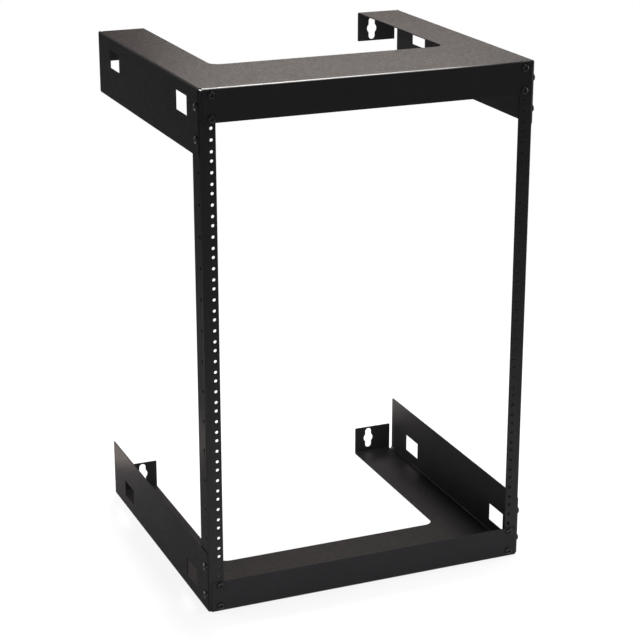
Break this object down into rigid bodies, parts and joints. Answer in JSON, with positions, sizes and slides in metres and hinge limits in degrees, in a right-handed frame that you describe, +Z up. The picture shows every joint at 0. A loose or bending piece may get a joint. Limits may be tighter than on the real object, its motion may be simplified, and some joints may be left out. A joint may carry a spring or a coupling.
{
  "type": "wall mount open frame rack",
  "caption": "Open frame for rack equipment that hangs on a wall: folded top and bottom panels with wall tabs, joined by drilled front rails.",
  "frame": {"origin": "on the floor plane under the middle of the overall box, which takes in the screw heads", "axes": "+X to the right seen from the front, +Y from the equipment face towards the wall, +Z up"},
  "size_m": [0.5072, 0.4608, 0.762],
  "materials": {
    "panel_coat": "black powder coat, fine texture, satin",
    "rail_coat": "black powder coat, fine texture, satin",
    "screw_black": "black oxide, slightly glossy"
  },
  "bodies": {
    "root": {"top_panel": "panel_coat", "bottom_panel": "panel_coat", "left_rail": "rail_coat", "right_rail": "rail_coat", "top_front_screws": "screw_black", "top_side_screws": "screw_black", "bottom_front_screws": "screw_black", "bottom_side_screws": "screw_black"}
  },
  "joints": []
}
